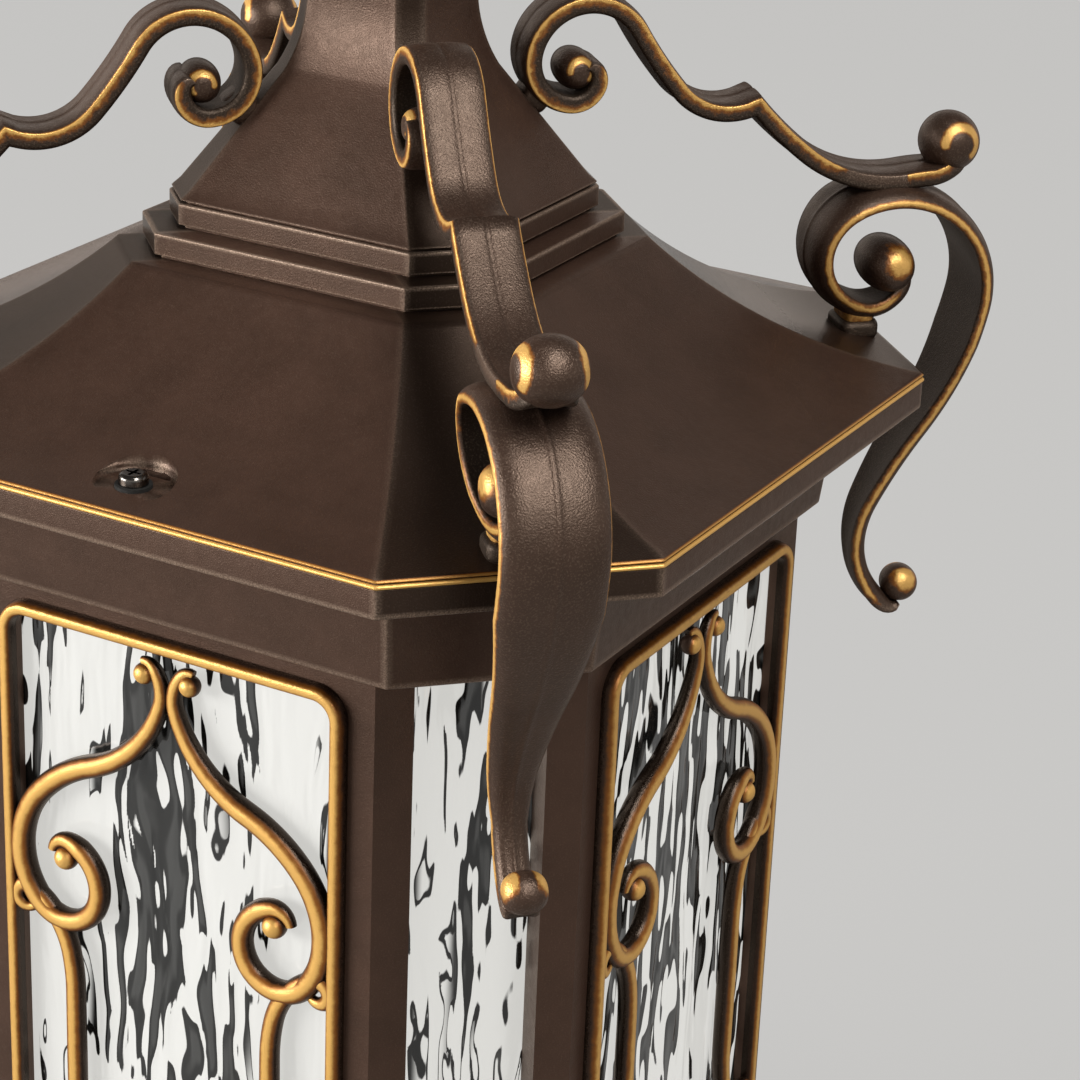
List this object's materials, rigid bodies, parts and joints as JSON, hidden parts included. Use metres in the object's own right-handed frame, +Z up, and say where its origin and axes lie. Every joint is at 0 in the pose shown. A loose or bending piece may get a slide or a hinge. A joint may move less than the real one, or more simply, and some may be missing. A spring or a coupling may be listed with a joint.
{
  "type": "pillar light",
  "caption": "Bronze and gilt pillar lantern: eight-sided glazed body with scroll grilles on a moulded pedestal, under a lift-off hipped roof with spire and scroll arms.",
  "frame": {"origin": "middle of the underside that stands on the pillar", "axes": "+Z up; the front panel, with one of the two roof screws above it, faces -Y"},
  "size_m": [0.2822, 0.2822, 0.5206],
  "materials": {
    "bronze_casting": "dark bronze coat, satin",
    "gilded_bronze_arms": "dark bronze coat with gold rubbed on the edges",
    "gilded_scrollwork": "dark bronze coat with gold brushed on the front",
    "ripple_glass": "clear, rippled",
    "black_rubber": "matt",
    "blackened_screws": "blackened",
    "zinc_steel": "zinc plated",
    "spring_steel": "bright",
    "nickelled_brass": "nickel plated",
    "white_ceramic": "glazed",
    "white_plastic": "satin",
    "opal_dome": "opal",
    "lead_sheath": "satin",
    "white_tray": "white coated"
  },
  "bodies": {
    "lantern": {"base_seal": "black_rubber", "cable_gland": "nickelled_brass", "clip_screws": "zinc_steel", "collar": "bronze_casting", "corner_pane_back_left": "ripple_glass", "corner_pane_back_right": "ripple_glass", "corner_pane_front_left": "ripple_glass", "corner_pane_front_right": "ripple_glass", "corner_pane_keepers": "spring_steel", "earth_screw": "zinc_steel", "gland_nut": "nickelled_brass", "grille_back": "gilded_scrollwork", "grille_front": "gilded_scrollwork", "grille_left": "gilded_scrollwork", "grille_right": "gilded_scrollwork", "lamp_leads": "lead_sheath", "lamp_screws": "zinc_steel", "lamp_tray": "white_tray", "lampholder": "white_ceramic", "mounting_plate": "zinc_steel", "pedestal": "bronze_casting", "pedestal_screws": "blackened_screws", "roof_lugs": "bronze_casting", "roof_seal": "black_rubber", "side_panel_back": "bronze_casting", "side_panel_front": "bronze_casting", "side_panel_left": "bronze_casting", "side_panel_right": "bronze_casting", "socket_contacts": "nickelled_brass", "terminal_block": "white_ceramic", "tie_rods": "zinc_steel", "tray_grommet": "black_rubber", "wide_pane_back": "ripple_glass", "wide_pane_clips": "spring_steel", "wide_pane_front": "ripple_glass", "wide_pane_left": "ripple_glass", "wide_pane_right": "ripple_glass"},
    "roof": {"roof_shell": "bronze_casting", "roof_screw_seals": "black_rubber", "lower_step_plate": "bronze_casting", "upper_step_plate": "bronze_casting", "spire": "bronze_casting", "finial": "bronze_casting", "finial_stud": "zinc_steel", "stud_washer": "zinc_steel", "stud_nut": "zinc_steel", "scroll_screws": "zinc_steel", "lower_scroll_front_right": "gilded_bronze_arms", "lower_scroll_back_right": "gilded_bronze_arms", "lower_scroll_back_left": "gilded_bronze_arms", "lower_scroll_front_left": "gilded_bronze_arms", "upper_scroll_front_right": "gilded_bronze_arms", "upper_scroll_back_right": "gilded_bronze_arms", "upper_scroll_back_left": "gilded_bronze_arms", "upper_scroll_front_left": "gilded_bronze_arms"},
    "roof_screw_front": {"roof_screw_front": "blackened_screws"},
    "roof_screw_back": {"roof_screw_back": "blackened_screws"},
    "bulb": {"bulb_cap": "nickelled_brass", "bulb_housing": "white_plastic", "bulb_dome": "opal_dome"}
  },
  "joints": [
    {"name": "roof_lift", "type": "slide", "parent": "lantern", "child": "roof", "axis": [0, 0, 1], "range_m": [0, 0.16]},
    {"name": "roof_screw_front_out", "type": "slide", "parent": "roof", "child": "roof_screw_front", "axis": [0, 0, 1], "range_m": [0, 0.02]},
    {"name": "roof_screw_back_out", "type": "slide", "parent": "roof", "child": "roof_screw_back", "axis": [0, 0, 1], "range_m": [0, 0.02]},
    {"name": "bulb_out", "type": "slide", "parent": "lantern", "child": "bulb", "axis": [0, 0, 1], "range_m": [0, 0.035]}
  ]
}
